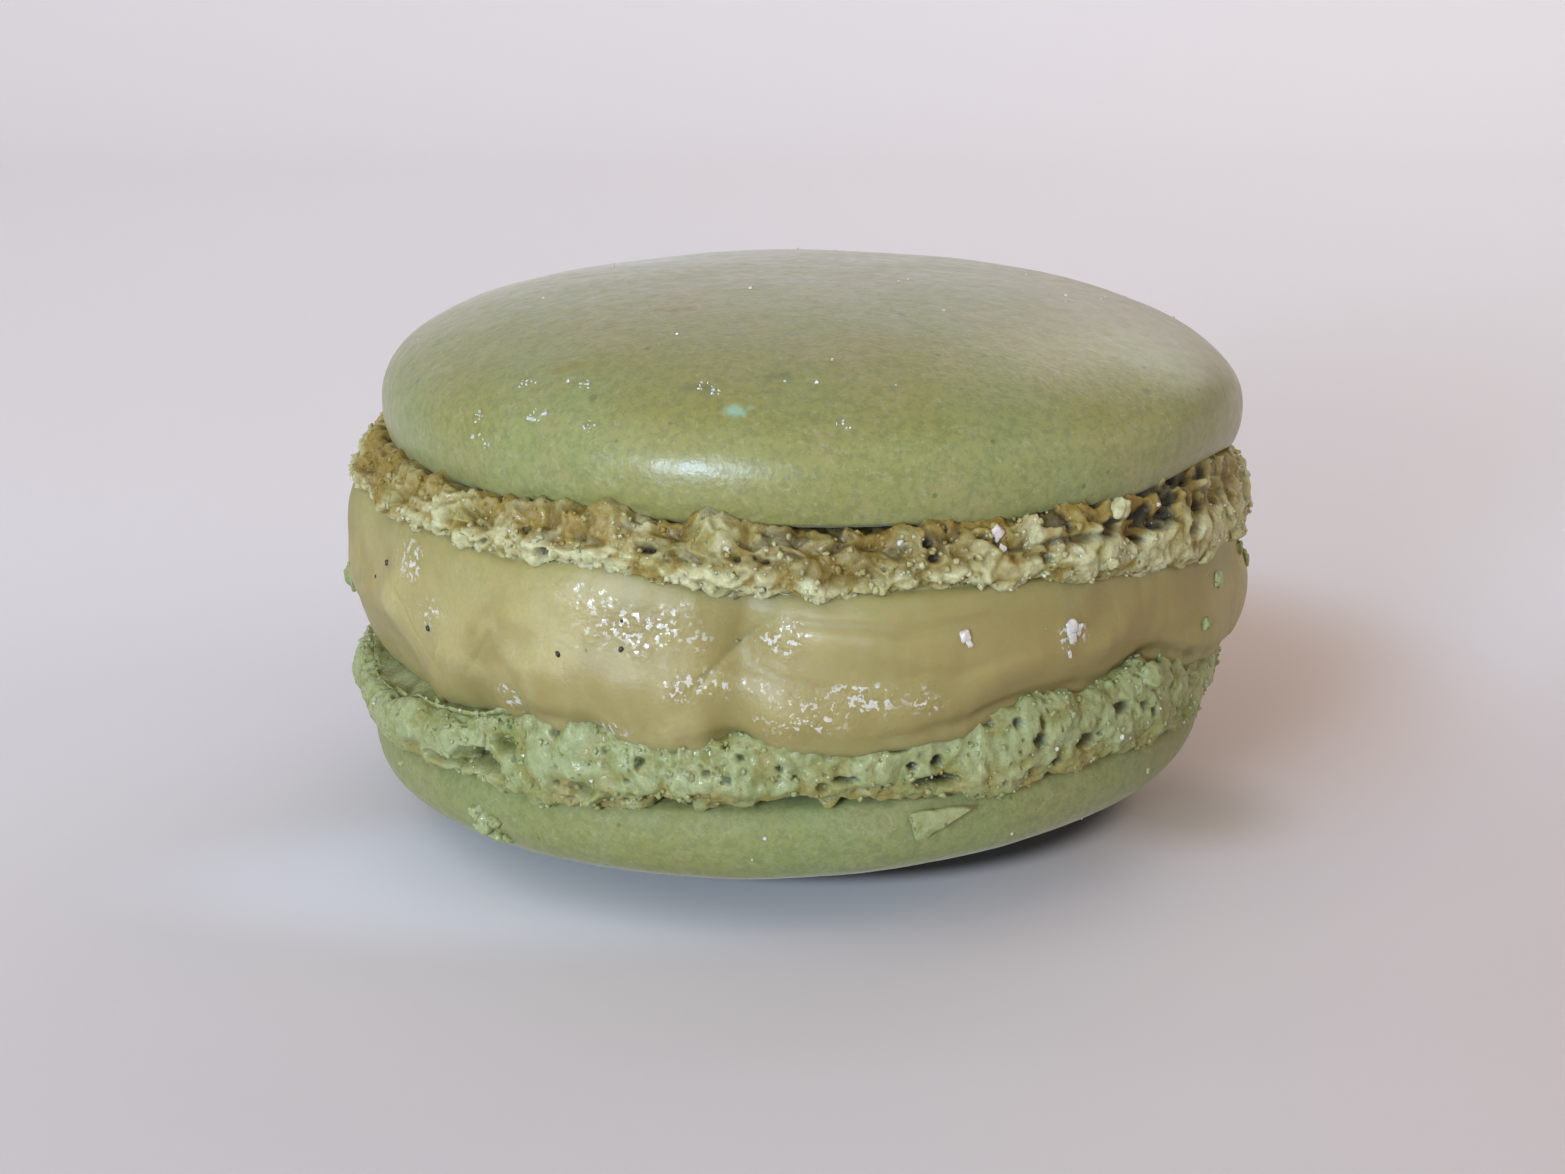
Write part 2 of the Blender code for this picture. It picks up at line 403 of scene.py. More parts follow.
def makeCrumb(look):
    # broken baked foam: pale ridges, mint walls, tan hollows that are partly toasted and partly painted
    # shade, painted shade in recesses and near-black painted shade in pores and crevices
    paint = Paint(look["name"], Subsurface_Weight=0.35, Subsurface_Radius=(1, 0.9, 0.4),
                  Subsurface_Scale=0.9 * mm, IOR=1.45)
    noise, spread, mark = paint.noise, paint.spread, paint.mark
    # the pores are dented in and also painted darker, a painted shade
    pores = paint.dots(0.5, 0.09, 0.4, 3)
    paint.give(Base_Color=paint.coats(
        look["pale"], (spread(noise(2, 4, 0.6), 0.36, 0.6), look["wall"]), (mark("ridge"), look["pale"]),
        (spread(noise(0.3, 4, 0.75), 0.52, 0.7, 0, 0.55), look["tan"]), (mark("toast"), look["tan"]),
        (mark("deep"), look["deep"]), (paint.times(pores, 0.6), look["deep"]), (mark("pitShade"), look["pitShade"])),
        Roughness=spread(noise(0.35), 0.5, 0.6, 0.58, 0.12))
    paint.bump((noise(0.26, 3, 0.6), 0.08), (pores, -0.06))
    return paint.material


# the near-black colour paints shade in crevices; the pale grey one paints glints, a painted highlight; the
# deeper yellow serves random clouds, grain and painted shade in hollows; the crumb colour also paints shade
# in bands by the feet
creamLook = {
    "cream": (0.342, 0.29, 0.112), "deep": (0.25, 0.2, 0.064), "milky": (0.4, 0.358, 0.172),
    "crumbDust": (0.25, 0.235, 0.085), "shade": (0.05, 0.042, 0.01), "paintedGlint": (0.66, 0.65, 0.62),
}


def makeCream():
    # moist cream: pale yellow, with painted shade in the hollows, along the seams and crevices and in bands
    # by the feet beside real crumb dust, milky in thin patches, glossy with fine wet relief and painted
    # glints
    paint = Paint("moistCream", Subsurface_Weight=0.45, Subsurface_Radius=(1, 0.8, 0.3),
                  Subsurface_Scale=2 * mm, IOR=1.48)
    noise, spread, mark = paint.noise, paint.spread, paint.mark
    wet = mark("wet")
    # glints: low roughness spots in the wet patches; below they are also painted pale, a painted highlight
    glints = paint.times(spread(noise(0.32, 2, 0.6), 0.52, 0.6), wet)
    # crumb dust colour, which also paints shade in bands by the feet
    dustAndShade = paint.times(mark("dustAndShade"), spread(noise(0.6, 4, 0.7), 0.4, 0.6, 0.25, 0.85))
    paint.give(Base_Color=paint.coats(
        creamLook["cream"], (spread(noise(5), 0.42, 0.66), creamLook["deep"]),
        (spread(noise(3.2, 4), 0.52, 0.75, 0, 0.7), creamLook["milky"]),
        # the hollow mark paints shade in the deeper yellow, and the shade mark near-black shade
        (mark("hollow"), creamLook["deep"]), (dustAndShade, creamLook["crumbDust"]),
        (mark("shade"), creamLook["shade"]),
        (spread(noise(0.22, 4, 0.75), 0.44, 0.66, 0, 0.3), creamLook["deep"]),
        # painted highlight: pale flecks where the glints are
        (spread(glints, 0.2, 0.8, 0, 0.6), creamLook["paintedGlint"])),
        Roughness=spread(glints, 0, 0.5, 0.5, 0.08))
    paint.bump((noise(0.9, 3, 0.6), 0.03), (noise(0.2, 3, 0.6), 0.015),
               (paint.times(noise(0.3, 2, 0.5), wet), 0.1))
    return paint.material


sugarLook = {"white": (0.56, 0.52, 0.48), "clear": (0.46, 0.43, 0.33)}
vanillaPodLook = {"black": (0.012, 0.014, 0.01), "brown": (0.05, 0.05, 0.03)}


def makeSugar():
    # small sugar crystals: milky white with a lilac tint, glossy
    paint = Paint("sugarGrain", Roughness=0.12, Subsurface_Weight=0.5, Subsurface_Scale=0.5 * mm, IOR=1.55)
    clouds = paint.spread(paint.noise(0.5, 2), 0.4, 0.65)
    paint.give(Base_Color=paint.mix(clouds, sugarLook["white"], sugarLook["clear"]))
    paint.bump((paint.noise(0.25, 2), 0.05))
    return paint.material


def makeVanilla():
    # vanilla seed: almost black with a green cast
    paint = Paint("vanillaSeed", Roughness=0.35, IOR=1.45)
    shade = paint.spread(paint.noise(0.15, 2), 0.4, 0.65)
    paint.give(Base_Color=paint.mix(shade, vanillaPodLook["black"], vanillaPodLook["brown"]))
    return paint.material


skin = makeSkin()
toastedCrumb = makeCrumb(toastedCrumbLook)
mintCrumb = makeCrumb(mintCrumbLook)
cream = makeCream()
sugar = makeSugar()
vanilla = makeVanilla()
surfaces = {}
footMarks = {}
print("materials ready")


def soleMiddle(look):
    # the middle of a leaning shell's flat sole: its box gives the sole's lowest or highest edge
    low, high = (np.array(corner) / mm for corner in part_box(look["node"]))
    fall = look["footRadius"] * math.sin(math.radians(abs(look["lean"])))
    level = high[2] - fall if look["upsideDown"] else low[2] + fall
    return np.array([(low[0] + high[0]) / 2 + look["slide"], 0, level])


# sizes in millimetres and degrees. profile: (out from the rim, share of the foot's height) to the sole;
# soleLift to recessDown: (direction, width, amount); hollows: (direction, level, half width, half height,
# depth, painted shade darkness); marks on the dome: (mark, x, y, half length, half width, turn, strength)
topShell = {
    "name": "top", "node": "top_shell", "upsideDown": False, "lean": 0.8, "slide": -0.23, "seed": 100,
    "footRadius": 23.3, "footHeight": 2.95, "edgeLevel": 4.7, "domeHeight": 6.7, "capRadius": 22.2,
    "capSlip": 0.6, "fullness": 2.35, "wobble": 0.15, "dull": 0,
    "profile": [(-2.6, 0.98), (-1.5, 1.06), (-0.9, 1), (-0.35, 0.84), (0, 0.6), (0, 0.34),
                (-0.25, 0.12), (-1, 0)],
    "fold": 0.3, "rough": 0.38, "lump": 0.3, "granule": 0.22, "fineGranule": 0.11, "recess": 0.6,
    # the last weight on the next line paints shade, tan and dark, in the gaps between granules
    "ragged": 0.45, "cellSize": 1.2, "cells": 0.12, "poreShare": 0.55, "browned": 1.15, "dirt": 0.8,
    "crumb": toastedCrumb,
    "marks": [
        ("fleck", -2.8, -20, 0.62, 0.42, 10, 0.4), ("toast", -6, -10, 1.9, 0.5, -6, 0.95),
        ("toast", -10.2, -15.5, 2.4, 0.45, -12, 0.45), ("bruise", -0.8, -18.1, 1, 0.3, 4, 0.6),
        ("bruise", 18.2, -8.2, 0.7, 0.6, 30, 0.65), ("bruise", -4.4, -18.6, 0.9, 0.35, -15, 0.45),
        ("toast", 1.6, -17, 0.5, 0.45, 0, 0.35), ("bruise", 2, 1, 1.4, 1, 0, 0.4),
    ],
    "soleLift": [(196, 15, 0.8), (222, 12, 0.6), (247, 9, 1), (298, 16, 0.12), (326, 14, -0.85),
                 (350, 8, -1.7)],
    "capLift": [(308, 13, 0.5), (258, 3, 0.5), (329, 15, 0.95)], "edgeLift": [(330, 18, 1.05)],
    "crevices": [(312, 24, 1), (270, 16, 0.5), (244, 10, 0.3)], "calm": [(322, 18, 0.45)],
    "toasted": [(202, 17, 0.9), (234, 14, 0.55), (296, 24, 0.3)],
    "knobs": [(226, 20, 0.8), (262, 5, 0.5), (300, 8, 0.3)],
    "recessDown": [(273, 14, 0.36), (236, 13, 0.15), (207, 15, 0.2), (300, 12, 0.1)],
    "hollows": [
        (252.8, 19.5, 0.45, 0.22, 0.5, 1), (256.5, 19.2, 1.1, 0.5, 0.45, 0.35),
        (262.7, 19.3, 0.25, 0.22, 0.4, 0.9), (266, 19.2, 0.2, 0.2, 0.4, 0.9),
        (240.5, 18.9, 0.35, 0.3, 0.45, 0.8), (284.5, 19.2, 0.35, 0.3, 0.4, 0.9),
        (292.8, 20.7, 1, 0.3, 0.5, 1), (297.5, 20.7, 1.1, 0.3, 0.4, 0.9), (303, 20.9, 0.8, 0.3, 0.4, 0.9),
        (310.7, 21, 1.3, 0.35, 0.5, 1), (322.7, 20.9, 1.6, 0.35, 0.5, 1), (317, 19.3, 1.2, 0.6, 0.4, 0.7),
        (312.1, 18.6, 0.6, 0.3, 0.4, 1), (322.5, 18.4, 0.7, 0.5, 0.4, 0.9),
        (306.9, 19.6, 0.8, 0.35, 0.3, 0.6), (284.5, 20.6, 0.9, 0.2, 0.6, 0.9),
        (289, 20.7, 0.5, 0.2, 0.5, 0.8), (306, 20.9, 0.8, 0.25, 0.4, 0.9), (315.5, 20.9, 1.2, 0.3, 0.4, 1),
        (328.5, 20.8, 1.1, 0.35, 0.5, 1), (319, 20.2, 0.9, 0.3, 0.3, 0.9),
        (325, 19.6, 0.45, 0.6, 0.35, 0.9), (313.5, 20.1, 0.6, 0.3, 0.3, 0.8),
    ],
}
bottomShell = {
    "name": "bottom", "node": "bottom_shell", "upsideDown": True, "lean": -2.1, "slide": 0.1, "seed": 300,
    "footRadius": 22.9, "footHeight": 3.05, "edgeLevel": 4.2, "domeHeight": 6.3, "capRadius": 22.2,
    # the lower dome is rougher, and its skin is multiplied darker as a painted shade
    "capSlip": 0, "fullness": 2.35, "wobble": 0.15, "dull": 0.8,
    "profile": [(-2.4, 0.95), (-1.2, 1.02), (-0.6, 1.05), (-0.15, 0.92), (0.05, 0.66), (0.05, 0.34),
                (-0.25, 0.08), (-0.9, 0)],
    "fold": 0.3, "rough": 0.3, "lump": 0.14, "granule": 0.12, "fineGranule": 0.1, "recess": 0.22,
    # the last weight on the next line paints shade, tan and dark, in the gaps between granules
    "ragged": 0.34, "cellSize": 0.9, "cells": 0.08, "poreShare": 0.85, "browned": 0.8, "dirt": 0.35,
    "crumb": mintCrumb, "marks": [], "hollowUnder": 1.2,
    "soleLift": [(241, 10, 1.2), (262, 12, 0.6), (298, 16, 1.2), (320, 7, 1.1), (198, 15, -0.8)],
    "capLift": [(262, 14, 0.45), (285, 20, 0.15)], "edgeLift": [], "crevices": [], "calm": [(208, 17, 0.75)],
    "toasted": [(250, 25, 0.25), (300, 20, 0.3), (272, 8, 0.5)], "knobs": [], "recessDown": [(272, 9, 0.1)],
    "hollows": [
        (230.7, 7.8, 1.8, 0.8, 1.1, 0.3), (234.9, 9.2, 0.75, 0.5, 0.8, 0.25),
        (224, 7.2, 2, 0.4, 0.7, 0.25), (231.5, 9, 0.12, 0.6, 0.5, 0.9), (246, 7.7, 0.9, 0.5, 0.5, 0.2),
        (256.4, 7.6, 1.5, 0.4, 0.6, 0.2), (258.7, 7.4, 0.25, 0.15, 0.4, 1), (272, 7.7, 2.2, 0.5, 0.5, 0.2),
        (278.5, 7.5, 1, 0.35, 0.6, 0.6), (253.5, 9.6, 0.3, 0.22, 0.4, 0.8),
        (269.4, 9.6, 0.2, 0.18, 0.4, 0.8), (300.5, 9.8, 0.45, 0.4, 0.6, 1),
        (287.6, 9.5, 0.35, 0.35, 0.5, 1), (284.5, 9.4, 0.3, 0.2, 0.5, 1), (288, 8.4, 1.2, 0.45, 0.6, 0.9),
        (277, 8.9, 0.6, 0.2, 0.5, 0.9), (308, 9.1, 0.9, 0.4, 0.6, 0.7), (322, 12.3, 1, 0.6, 1, 1),
        (283, 10.3, 0.6, 0.2, 0.5, 0.9), (327.5, 12.6, 0.5, 0.8, 0.9, 1), (324.5, 11, 0.2, 0.9, 0.5, 0.8),
        (314, 10.3, 0.8, 0.3, 0.5, 0.8),
    ],
}
for look in (topShell, bottomShell):
    look["middle"] = soleMiddle(look)


def makeCap(look):
    # a dome r = R cos^(2/p) t, z = h sin^(2/p) t over a rolled-in edge, closed by a flat disc below
    p = 2 / look["fullness"]
    edge, low, radius = look["edgeLevel"], look["footHeight"], look["capRadius"]
    t = np.linspace(0.5 * math.pi, 0, 76)
    dome = np.stack([radius * np.clip(np.cos(t), 0, 1) ** p,
                     edge + look["domeHeight"] * np.clip(np.sin(t), 0, 1) ** p], axis=-1)
    dome[0, 0] = 0
    drop = edge - low
    roll = smoothPath([dome[-1], (radius - 0.04, edge - 0.35 * drop), (radius - 0.2, edge - 0.7 * drop),
                       (radius - 0.5, edge - drop), (radius - 1.5, low - 0.2), (radius - 5, low - 0.25),
                       (0, low - 0.25)], [5, 5, 5, 4, 2, 2])
    path = np.vstack([dome[:-1], roll])
    points, outward, angle = turnedGrid(path, 900)
    wave = look["wobble"] * ripple(angle, look["seed"] + 2, (2, 3, 5)) * reachOf(points)
    points += outward * (wave / radius)[..., None]
    dimple = ballDepth(holeField(points, 6, 0.5, 1.6, 0.5, look["seed"] + 12))
    relief = 0.05 * smoothNoise(points, 4, look["seed"] + 9) - 0.03 * dimple
    relief += 0.012 * layeredNoise(points, 0.9, look["seed"] + 10, 2)
    points += outward * relief[..., None]
    lift = liftAt(angle, look["edgeLift"]) * (1 - ease(edge - 0.2, edge + 6.2, points[..., 2]))
    points[..., 2] += lift * ease(radius - 6, radius - 2, reachOf(points))
    points[..., 0] += look["capSlip"]
    placed, _ = leanAndPlace(points, outward, look)
    if look["upsideDown"]:
        # the lower dome stands clear of the floor at one side
        reach = reachOf(placed)
        clear = look["hollowUnder"] * hill(rimAngle(placed, look["middle"]), 288, 55)
        clear = clear * ease(6, 13.5, reach) * (1 - ease(18, 22.2, reach))
        placed[..., 2] += clear * (placed[..., 2] < 6)
    placed[..., 2] = np.maximum(placed[..., 2], 0)
    marks = {"fleck": 0 * dimple, "toast": 0 * dimple, "bruise": 0 * dimple, "dull": look["dull"]}
    for label, x, y, halfLength, halfWidth, heading, strength in look["marks"]:
        along, across = turned(placed[..., 0] - x, placed[..., 1] - y, -math.radians(heading))
        away = np.hypot(along / halfLength, across / halfWidth)
        spot = ease(0, 0.6, 1 - away + 0.8 * smoothNoise(points, 0.55, 77)) * (away < 1.8)
        marks[label] = np.maximum(marks[label], strength * spot)
    surfaces[look["name"] + "Cap"] = placed[:len(dome)]
    closedMesh(look["name"] + "Cap", placed, marks, skin, look["node"])


def makeFoot(look):
    # a disc with a swollen rim; each point moves along its outward direction by folds + roughness + lumps
    # + granules - the recess under the cap - open cells - pores - cracks - the placed hollows, and its two
    # edges rise and fall by noise and by the named lifts
    rim, high, seed = look["footRadius"], look["footHeight"], look["seed"]
    side = [(rim + out, share * high) for out, share in look["profile"]]
    path = smoothPath([(0, high - 0.5), (rim - 5, high - 0.4), *side, (rim - 3.2, 0), (0, 0)],
                      [1, 2, 3, 5, 8, 9, 9, 9, 14, 7, 1])
    points, outward, _ = turnedGrid(path, 1380)
    level = points[..., 2] / high
    radius = reachOf(points)
    onRim = ease(rim - 2.9, rim - 1.6, radius)
    placed, outward = leanAndPlace(points, outward, look)
    angle = rimAngle(placed, look["middle"])
    around = placed * (1, 1, 0)

    def wave(at, size, number):
        return smoothNoise(at, size, seed + number)

    def named(label):
        return liftAt(angle, look[label])

    upward = -1 if look["upsideDown"] else 1
    nearSole = 1 - ease(0.1, 0.75, level)
    nearCap = onRim * ease(0.55, 0.95, level)
    soleNoise = 0.7 * wave(around, 2.4, 75) + 0.25 * wave(around, 1, 76)
    capNoise = 0.7 * wave(around, 2.1, 77) + 0.25 * wave(around, 0.9, 78)
    lift, down = named("soleLift"), named("recessDown")
    placed[..., 2] += nearSole * ease(rim - 4.6, rim - 2.4, radius) * upward * look["ragged"] * soleNoise
    placed[..., 2] += nearSole * onRim * np.minimum(lift, 0)
    placed[..., 2] += nearSole * ease(rim - 6, rim - 3.4, radius) * np.maximum(lift, 0)
    placed[..., 2] += nearCap * (upward * look["ragged"] * capNoise + named("capLift"))

    warp = np.stack([smoothNoise(placed, 1.1, seed + 31 + axis) for axis in range(3)], axis=-1)
    border = 0.6 + 0.22 * wave(around, 3, 40) + 0.16 * wave(around, 1.1, 41)
    border -= down
    knobs = np.clip(named("knobs"), 0, 1)
    above = ease(border - 0.04, border + 0.12, level) * (1 - 0.7 * knobs)
    scoop = ease(-0.25, 0.35, wave(around, 2, 44))
    fold = ripple(angle + 6 * level, seed, (5, 8, 13, 19, 26))
    calm = 1 - named("calm")
    rough = layeredNoise(placed, 2.2, seed + 6, 3) * calm
    lump = cobbles(placed + 0.45 * warp, 1.6, seed + 1)
    granule = cobbles(placed + 0.25 * warp, 0.8, seed + 25)
    fineGranule = cobbles(placed, 0.42, seed + 26)
    cell = foamCells(placed + 0.25 * warp, look["cellSize"], seed + 20)
    hollow = ballDepth(holeField(placed + 0.4 * warp, 2.6, 0.3, 0.8, 0.35, seed + 50))
    pore = ballDepth(holeField(placed + 0.15 * warp, 1.05, 0.1, 0.34, look["poreShare"], seed + 60))
    finePore = ballDepth(holeField(placed, 0.6, 0.06, 0.16, 0.5, seed + 70))
    broken = wave(placed, 0.7, 90)
    deep, dark = placedHollows(angle, placed[..., 2], rim, look["hollows"], broken)
    sunk = look["recess"] * above * (0.25 + 0.75 * scoop) * (1 - ease(0.9, 1.02, level))
    bumps = look["lump"] * (lump - 0.5) + look["granule"] * (granule - 0.5)
    bumps = bumps + look["fineGranule"] * (fineGranule - 0.5)
    bumps = bumps * calm * (1 + 1.1 * knobs) * (1 - 0.8 * ease(0.05, 0.5, deep))
    crevice = ease(0.1, 0.24, wave(placed * (1, 1, 1.9), 1.2, 95)) * ease(0.56, 0.74, level)
    crevice *= np.clip(named("crevices"), 0, 1)
    push = look["fold"] * fold + look["rough"] * rough + bumps + 0.08 * wave(placed, 0.5, 27)
    push = push - sunk - look["cells"] * cell - 0.4 * hollow - 0.34 * pore - 0.12 * finePore - deep
    push -= 0.3 * crevice
    ledge = (1 - ease(rim - 1.5, rim - 0.5, radius)) * (1 - ease(0.3, 0.5, level))
    shaped = placed + outward * (push * onRim * (1 - 0.7 * ledge))[..., None]

    # colours: pale ridges, toasted tan, and painted shade in gaps, recesses, pores and crevices
    tip = ease(0.35, 0.85, 0.5 * lump + 0.5 * granule)
    gap = 1 - ease(0, 0.45, granule)
    toasted = named("toasted")
    patchy = 0.5 + 0.9 * wave(placed, 1.6, 80)
    brown = look["browned"] * above * (0.35 + 0.65 * patchy) * (0.55 + 0.45 * scoop)
    brown = brown + toasted * (patchy + 0.3 * level - 0.2) + 0.5 * knobs * gap
    # the gap, cell and hole terms here, and the knobs' gap term above, paint shade in tan
    toast = brown + look["dirt"] * (0.8 * gap + 0.5 * cell) + 0.35 * hollow - 0.3 * tip
    # painted shade in recesses: under the cap, in hollows, between granules and on the bare ledge
    sunken = ease(0.1, 0.8, sunk + 0.8 * deep + 0.5 * hollow - bumps - 0.3 * rough)
    depth = 0.6 * sunken + 1.5 * above * np.maximum(down, 0) + look["dirt"] * 0.5 * gap * sunken
    depth = depth + 0.4 * hollow ** 2 + (1.1 * calm - 0.4) * ledge
    marks = {
        "ridge": np.clip(tip - 0.6 * above, 0, 0.9), "toast": np.clip(toast, 0, 0.95) * onRim,
        "deep": np.clip(depth, 0, 0.9),
        # near-black painted shade in pores, placed hollows and crevices
        "pitShade": np.clip(0.9 * pore + 0.5 * finePore + dark + 0.95 * crevice, 0, 1) * onRim,
    }
    name = look["name"] + "Foot"
    surfaces[name] = shaped[8:-4]
    footMarks[name] = {label: value[8:-4] for label, value in {**marks, "calm": calm}.items()}
    closedMesh(name, shaped, marks, look["crumb"], look["node"])


for look in (topShell, bottomShell):
    makeCap(look)
    makeFoot(look)
print("shells done")

# sizes in millimetres and degrees. lobes to crevices: (direction, width, amount); folds are soft swellings:
# (direction, level, half width, half height, height, slant); creases are thin: (direction, level, half
# length, width, depth, slant); wet patches: (direction, level, half width, half height)
creamShape = {
    "radius": 22.9, "overlap": 0.35, "sag": 0.35,
    "profile": [(-3, 1), (-0.9, 1), (-0.15, 0.9), (0.05, 0.66), (0.25, 0.4), (0.25, 0.16), (-0.25, 0.02),
                (-1.4, 0), (-3, 0)],
    "lobes": [(186, 22, 0.7), (243, 13, 0.9), (284, 12, 0.6), (264, 4, -0.3), (320, 15, -0.5),
              (351, 12, 0.4)],
    "undercut": [(203, 18, 1.9), (228, 7, 1.4), (243, 9, 1.2), (298, 17, 1.4), (318, 8, 1),
                 (236, 3, 0.8), (246, 2.5, 0.7), (262, 2.5, 0.8)],
    # the first row paints shade round the rim, mostly on the right; the second tints with crumb dust; the
    # third cuts a groove with painted shade along the lower foot, and the fourth paints dark shade in its
    # crevices
    "paintedShade": [(306, 24, 0.46), (262, 8, 0.15), (287, 15, 0.5), (271, 7, 0.18)],
    "dusted": [(337, 11, 1), (222, 6, 0.35)],
    "seams": [(294, 13, 0.9), (322, 12, 0.9), (241, 4, 0.7), (262, 4, 0.7)], "crevices": [(320, 11, 1)],
    "folds": [
        (226, 12.4, 2.4, 1.6, 0.45, 0.6), (246, 12.2, 5, 1.8, 0.5, 0.1), (263, 15.4, 1.3, 1.6, -0.6, 0.4),
        (280, 15.3, 4, 1.3, 0.5, -0.15), (292, 13.4, 3.5, 1.2, 0.3, 0.25), (309, 14.2, 2.5, 1, 0.35, 0.3),
        (236.5, 15.6, 2, 1, 0.3, 0.4), (212, 14.8, 1.6, 1.4, 0.35, 0.8),
        (223.6, 12.9, 0.45, 0.4, 0.25, 0.8), (270, 12, 2.5, 1, 0.25, -0.3), (30, 13.5, 6, 1.6, 0.5, 0.1),
        (75, 14.5, 4, 1.3, 0.5, -0.2), (110, 12.8, 5, 1.2, 0.5, 0.2), (150, 15, 4, 1.3, 0.4, -0.1),
        (350, 13.5, 4, 1.5, 0.3, 0),
    ],
    "creases": [
        (262, 14.9, 1.5, 0.16, 0.22, 0.9), (271, 13.5, 3.2, 0.18, 0.08, -0.22),
        (289, 14.3, 3.4, 0.24, 0.09, 0.1), (232, 13.9, 1.8, 0.14, 0.14, 1.1),
        (217, 13.6, 1.7, 0.14, 0.18, -1), (222.4, 12.8, 0.6, 0.1, 0.15, 1.2),
        (280, 16.3, 4.6, 0.26, 0.16, -0.02), (60, 13.5, 3, 0.16, 0.18, 0.3),
        (130, 14.2, 3, 0.16, 0.18, -0.3), (10, 13, 2.5, 0.16, 0.18, 0.4),
    ],
    "wet": [
        (217.2, 16.7, 1.2, 0.9), (246.3, 16.8, 1.2, 0.6), (253.4, 15.8, 3, 0.9), (267.8, 15.6, 1.2, 0.8),
        (276.5, 13, 2.6, 0.9), (269.9, 11.9, 1.8, 0.7), (248.3, 10.9, 1.2, 0.4), (302.5, 14.8, 0.9, 0.7),
        (222, 14.6, 1, 0.8), (258, 13.4, 2, 0.8), (284, 12.6, 1, 0.5), (235, 11.6, 0.9, 0.7),
    ],
}


